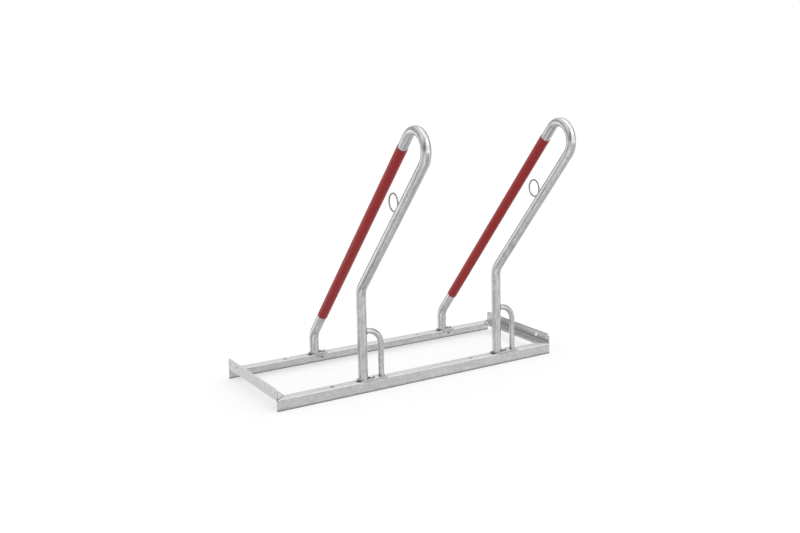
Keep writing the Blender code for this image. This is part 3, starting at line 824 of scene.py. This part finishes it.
for place, x in enumerate(PLACE_X):
    number = place + 1
    for row, (row_name, y) in enumerate((("front", FRONT_LEG_Y), ("rear", REAR_LEG_Y))):
        seed = 60 + 10 * place + 5 * row
        dressed(f"{row_name}_foot_plate_{number}", PLATE_STEEL, seed, "X", PLATE_ROUNDING)
        dressed(f"{row_name}_nut_{number}", ZINC, seed + 1, "Z", FASTENER_ROUNDING, "zinc_fasteners")
        dressed(f"{row_name}_washer_{number}", ZINC, seed + 2, "Z", FASTENER_ROUNDING, "zinc_fasteners")
        centre = (x + BOLT_OFFSET, y, 0)
        bolt = make_bolt(f"bolt_{row_name}_{number}", centre, seed + 3)
        # Painted shade round the head's rim, leaving its crown at the zinc's own tone.
        darken_rim(bolt.data, centre)
        finish_piece(bolt, "zinc_fasteners", f"{row_name}_bolt_{number}")
        thread = make_thread(f"thread_{row_name}_{number}", centre, seed + 4)
        finish_piece(thread, "zinc_fasteners")


# Weld beads

# A bead's ripples, its wander in width, and how many of its points taper at an open end. A path that rises
# by more than UPRIGHT of its length takes another direction for its first side.
RIPPLE_LENGTH = 0.0021
RIPPLE = 0.10
RIPPLE_DRIFT = 0.8
WANDER = 0.14
WANDERS_ALONG = 160.0
WANDER_SEED_STEP = 3.7
WANDER_PLACE = 1.3
TAPER_POINTS = 4.0
TAPER_START = 0.2
TAPER_LEAST = 0.02
UPRIGHT = 0.9

# Radii of the beads, how far they lie off the walls beside them, and how high over the plate. A lock ring
# has a bead on each side of its wire, RING_BEAD_SINK in from the side that faces the tube.
LEG_BEAD = 0.0017
LEG_BEAD_OFF = 0.0004
LEG_BEAD_RISE = 0.0006
LEG_BEAD_STEPS = 72
BOW_BEAD = 0.0015
BOW_BEAD_OFF = 0.0003
BOW_BEAD_RISE = 0.0005
BOW_BEAD_STEPS = 48
SADDLE_OFF = 0.0004
SADDLE_STEPS = 60
RING_BEAD = 0.0014
RING_BEAD_HALF = 0.006
RING_BEAD_SINK = 0.0006
RING_BEAD_SIDE = 0.0022
LINE_STEP = 0.0005

# The beads at the frame's corners. Their starts and lengths are steps along X and Y at once.
TOE_BEAD = 0.0012
TOE_BEAD_INWARDS = 0.006
TOE_BEAD_OUTWARDS = 0.0003
TOE_BEAD_SINK = 0.0004
UNDER_BEAD = 0.0018
UNDER_BEAD_START = 0.010
UNDER_BEAD_RUN = 0.028
UNDER_BEAD_SINK = 0.0002


def bead(points, radius, seed, closed):
    """A weld bead's points, faces and flow along a path in space, with a welder's crescent ripples."""
    points = [Vector(point) for point in points]
    count = len(points)
    vertices, flows, length = [], [], 0.0
    for index, point in enumerate(points):
        before, after = neighbours(points, index, closed)
        along = (after - before).normalized()
        first = along.cross(UP if abs(along.z) < UPRIGHT else RIGHT).normalized()
        second = along.cross(first).normalized()
        if index:
            length += (point - points[index - 1]).length
        wander = noise.noise(Vector((length * WANDERS_ALONG, seed * WANDER_SEED_STEP, WANDER_PLACE)))
        ripple = math.cos(2 * math.pi * length / RIPPLE_LENGTH + RIPPLE_DRIFT * wander)
        swell = 1 + RIPPLE * ripple + WANDER * wander
        if not closed:
            from_end = min(index, count - 1 - index) + TAPER_START
            swell *= math.sqrt(max(TAPER_LEAST, min(1.0, from_end / TAPER_POINTS)))
        for step in range(BEAD_SIDES):
            turn = 2 * math.pi * step / BEAD_SIDES
            vertices.append(point + (first * math.cos(turn) + second * math.sin(turn)) * radius * swell)
            flows.append((radius * math.cos(turn), radius * math.sin(turn), length))
    faces = skin(count, BEAD_SIDES, closed=closed)
    if not closed:
        faces += end_caps(count, BEAD_SIDES)
    return vertices, faces, flows


def make_welds(name, beads, seed):
    """Several beads as one piece."""
    vertices, faces, flows = [], [], []
    for index, (points, radius, closed) in enumerate(beads):
        more, skins, places = bead(points, radius, seed + index, closed)
        faces += [tuple(corner + len(vertices) for corner in face) for face in skins]
        vertices += more
        flows += places
    thing = mesh_object(name, vertices, faces, shifted(flows, seed), WELD_STEEL)
    shape = bmesh.new()
    shape.from_mesh(thing.data)
    bmesh.ops.recalc_face_normals(shape, faces=shape.faces)
    shape.to_mesh(thing.data)
    shape.free()
    return finish_piece(thing, "galvanised_steel")


def circle_points(centre, radius, steps):
    """A level circle."""
    turns = [2 * math.pi * step / steps for step in range(steps)]
    return [Vector(centre) + Vector((radius * math.cos(t), radius * math.sin(t), 0)) for t in turns]


def line_points(start, end):
    """Points on a straight line, close together."""
    count = max(4, round((end - start).length / LINE_STEP))
    return [start.lerp(end, index / count) for index in range(count + 1)]


def saddle_points(x):
    """Where the bow's bar meets the leg."""
    points = []
    for step in range(SADDLE_STEPS):
        turn = 2 * math.pi * step / SADDLE_STEPS
        across = (BAR_RADIUS + SADDLE_OFF) * math.sin(turn)
        rise = (BAR_RADIUS + SADDLE_OFF) * math.cos(turn)
        out = math.sqrt(TUBE_RADIUS ** 2 - across ** 2) + SADDLE_OFF
        points.append(Vector((x + out, FRONT_LEG_Y + across, BOW_HEIGHT + rise)))
    return points


def place_beads(x):
    """The beads of one place: round both legs, at the bow's foot and top, and beside the lock ring."""
    beads = []
    for y in (FRONT_LEG_Y, REAR_LEG_Y):
        foot = (x, y, PLATE_TOP + LEG_BEAD_RISE)
        beads.append((circle_points(foot, TUBE_RADIUS + LEG_BEAD_OFF, LEG_BEAD_STEPS), LEG_BEAD, True))
    foot = (x + BOW_OFFSET, FRONT_LEG_Y, PLATE_TOP + BOW_BEAD_RISE)
    beads.append((circle_points(foot, BAR_RADIUS + BOW_BEAD_OFF, BOW_BEAD_STEPS), BOW_BEAD, True))
    beads.append((saddle_points(x), BOW_BEAD, True))
    touch = ring_centre() - ACROSS * (RING_RADIUS + RING_WIRE_RADIUS - RING_BEAD_SINK) + RIGHT * x
    for sign in (-1, 1):
        middle = touch + RIGHT * (sign * RING_BEAD_SIDE)
        ends = (middle - ARM * RING_BEAD_HALF, middle + ARM * RING_BEAD_HALF)
        beads.append((line_points(*ends), RING_BEAD, False))
    return beads


def corner_beads():
    """The beads of the frame's corners: one at each mitre's inner end, and one under the mitre."""
    beads = []
    for end in (-1, 1):
        for face, inwards in ((FRONT_FACE, 1), (REAR_FACE, -1)):
            corner = Vector((end * FRAME_HALF, face, 0))
            diagonal = Vector((-end, inwards, 0))
            toe = corner + diagonal * ANGLE_LEG + UP * (FLANGE_TOP - TOE_BEAD_SINK)
            ends = (toe - diagonal * TOE_BEAD_INWARDS, toe + diagonal * TOE_BEAD_OUTWARDS)
            beads.append((line_points(*ends), TOE_BEAD, False))
            below = corner + diagonal * UNDER_BEAD_START + UP * (FLANGE_BOTTOM + UNDER_BEAD_SINK)
            beads.append((line_points(below, below + diagonal * UNDER_BEAD_RUN), UNDER_BEAD, False))
    return beads


for place, x in enumerate(PLACE_X):
    make_welds(f"welds_{place + 1}", place_beads(x), 100 + 10 * place)
make_welds("frame_welds", corner_beads(), 140)


# Floor

FLOOR_GREY = (0.56, 0.56, 0.56, 1)
FLOOR_LIFT = 0.53
FLOOR_REACH = 60.0


def floor_material():
    """White studio floor, lifted to white where it is seen. It keeps the object's shadow."""
    material, nodes, output = new_material("studio_floor")
    path = nodes.add("ShaderNodeLightPath").outputs
    seen = nodes.math("MAXIMUM", path["Is Camera Ray"], path["Is Glossy Ray"])
    seen = nodes.math("MAXIMUM", seen, path["Is Transmission Ray"])
    diffuse = nodes.add("ShaderNodeBsdfDiffuse", None, Color=FLOOR_GREY)
    lift = nodes.add("ShaderNodeEmission", None, Strength=nodes.math("MULTIPLY", seen, FLOOR_LIFT))
    both = nodes.add("ShaderNodeAddShader", None, i0=diffuse.outputs[0], i1=lift.outputs[0])
    nodes.tree.links.new(both.outputs[0], output.inputs[0])
    material.cycles.emission_sampling = "NONE"
    return material


floor_mesh = bpy.data.meshes.new("studio_floor")
floor_corners = [(x * FLOOR_REACH, y * FLOOR_REACH, 0) for x, y in ((-1, -1), (1, -1), (1, 1), (-1, 1))]
floor_mesh.from_pydata(floor_corners, [], [(0, 1, 2, 3)])
floor_mesh.materials.append(floor_material())
floor = bpy.data.objects.new("studio_floor", floor_mesh)
bpy.context.scene.collection.objects.link(floor)

# Reflections pass the floor and find the world behind it
floor.visible_glossy = False


# World

# What the world shows, in strengths and degrees. SKY is what lights the object, and reflections see STUDIO
# with changes. A step runs from one height to another. A panel has its azimuth, outer and inner half width,
# lower and upper edge and softness. A patch has its azimuth, height, and outer and inner radius. Each row
# ends with its change of strength.
SKY = 0.88
STUDIO = 0.95
STUDIO_LEAST = 0.05
STEPS = ((-4, 3, -0.27), (18, 58, 0.50), (64, 80, 0.10), (-25, -60, -0.16))
PANELS = (
    (-74, 47, 38, -8, 31, 4, 0.85),
    (-46, 36, 24, 31, 66, 4, 0.60),
    (-58, 30, 18, -40, -11, 4, -0.06),
    (118, 18, 9, -24, -1, 5, 0.52),
    (88, 20, 12, -14, 3, 3, -0.60),
    (135, 34, 22, 8, 32, 6, -0.13),
    (-159, 12, 6, -8, 16, 4, -0.36),
    (172, 20, 8, -40, 8, 5, -0.16),
    (-80, 26, 12, -60, -22, 6, -0.16),
    (-97, 8, 3, -26, -10, 3, -0.20),
    (-67, 9, 3, -26, -10, 3, 0.10),
)
PATCHES = (
    (10, 72, 40, 24, 0.60),
    (-50, 12, 30, 16, 0.30),
    (68, 14, 26, 8, 0.80),
    (36, 36, 24, 10, -0.35),
    (-172, 32, 22, 8, 0.35),
    (-138, 20, 26, 18, -0.32),
    (150, -40, 18, 8, -0.14),
    (-157, -47, 32, 14, 0.46),
)


def sine(degrees):
    """The sine of an angle in degrees."""
    return math.sin(math.radians(degrees))


def cosine(degrees):
    """The cosine of an angle in degrees."""
    return sine(90 - degrees)


def near(nodes, vector, towards, outer, inner):
    """How near a direction is to another one, from 0 at the outer angle to 1 at the inner one."""
    closeness = nodes.vector("DOT_PRODUCT", vector, towards)["Value"]
    return nodes.span(closeness, cosine(outer), cosine(inner), smooth=True)


def studio_strength(nodes, direction):
    """How bright reflections see the studio in a direction."""
    rise = nodes.parts(direction)["Z"]
    flat = nodes.vector("NORMALIZE", nodes.vector("MULTIPLY", direction, (1.0, 1.0, 0.0))[0])[0]
    strength = STUDIO
    for low, high, change in STEPS:
        step = nodes.span(rise, sine(low), sine(high), 0.0, change, smooth=True)
        strength = nodes.math("ADD", step, strength)
    for azimuth, outer, inner, low, high, soft, change in PANELS:
        beside = near(nodes, flat, (cosine(azimuth), sine(azimuth), 0), outer, inner)
        above = nodes.span(rise, sine(low - soft), sine(low + soft), smooth=True)
        below = nodes.span(rise, sine(high + soft), sine(high - soft), smooth=True)
        part = nodes.math("MULTIPLY", nodes.math("MULTIPLY", beside, above), below)
        strength = nodes.math("ADD", strength, nodes.math("MULTIPLY", part, change))
    for azimuth, height, outer, inner, change in PATCHES:
        level = cosine(height)
        towards = (cosine(azimuth) * level, sine(azimuth) * level, sine(height))
        part = near(nodes, direction, towards, outer, inner)
        strength = nodes.math("ADD", strength, nodes.math("MULTIPLY", part, change))
    return nodes.math("MAXIMUM", strength, STUDIO_LEAST)


def make_world():
    """A pale studio: white to the camera, even to what it lights, and with panels to reflections."""
    world = bpy.data.worlds.new("studio")
    world.use_nodes = True
    world.node_tree.nodes.clear()
    nodes = Nodes(world.node_tree)
    output = nodes.add("ShaderNodeOutputWorld")
    path = nodes.add("ShaderNodeLightPath").outputs
    place = nodes.add("ShaderNodeTexCoord").outputs["Generated"]
    direction = nodes.vector("NORMALIZE", place)[0]
    strength = studio_strength(nodes, direction)
    shown = nodes.math("MAXIMUM", path["Is Glossy Ray"], path["Is Transmission Ray"])
    mix = {"data_type": "FLOAT"}
    level = nodes.add("ShaderNodeMix", mix, Factor=shown, A=SKY, B=strength).outputs[0]
    level = nodes.add("ShaderNodeMix", mix, Factor=path["Is Camera Ray"], A=level, B=1.0).outputs[0]
    background = nodes.add("ShaderNodeBackground", None, Color=(1, 1, 1, 1), Strength=level)
    nodes.tree.links.new(background.outputs[0], output.inputs[0])
    world.cycles.sampling_method = "NONE"
    bpy.context.scene.world = world


make_world()


# Key lamp

KEY_PLACE = Vector((1.4, -3.0, 3.2))
KEY_TARGET = Vector((0.0, 0.1, 0.3))
KEY_SIZE = 1.4
KEY_POWER = 45.0

key_data = bpy.data.lights.new("key", "AREA")
key_data.shape = "SQUARE"
key_data.size = KEY_SIZE
key_data.energy = KEY_POWER
key = bpy.data.objects.new("key", key_data)
key.location = KEY_PLACE
key.rotation_euler = (KEY_TARGET - KEY_PLACE).to_track_quat("-Z", "Y").to_euler()
bpy.context.scene.collection.objects.link(key)

# The lamp leaves the floor out
floor_left_out = bpy.data.collections.new("floor_left_out")
floor_left_out.objects.link(floor)
floor_left_out.collection_objects[0].light_linking.link_state = "EXCLUDE"
key.light_linking.receiver_collection = floor_left_out


# Camera

CAMERA_PLACE = (-1.8514, -3.2784, 1.2199)
YAW = math.radians(37.661)
PITCH = math.radians(7.940)
ROLL = math.radians(0.162)

camera_data = bpy.data.cameras.new("camera")
camera_data.sensor_width = 36.0
camera_data.lens = 48.609
camera_data.shift_x = -0.22
camera_data.shift_y = -0.10
camera_data.clip_end = 200.0
camera = bpy.data.objects.new("camera", camera_data)
camera.location = CAMERA_PLACE
aim = Matrix.Rotation(-YAW, 3, "Z") @ Matrix.Rotation(math.pi / 2 - PITCH, 3, "X")
camera.rotation_euler = (aim @ Matrix.Rotation(ROLL, 3, "Z")).to_euler()
bpy.context.scene.collection.objects.link(camera)
bpy.context.scene.camera = camera

bpy.context.scene.view_settings.view_transform = "Standard"
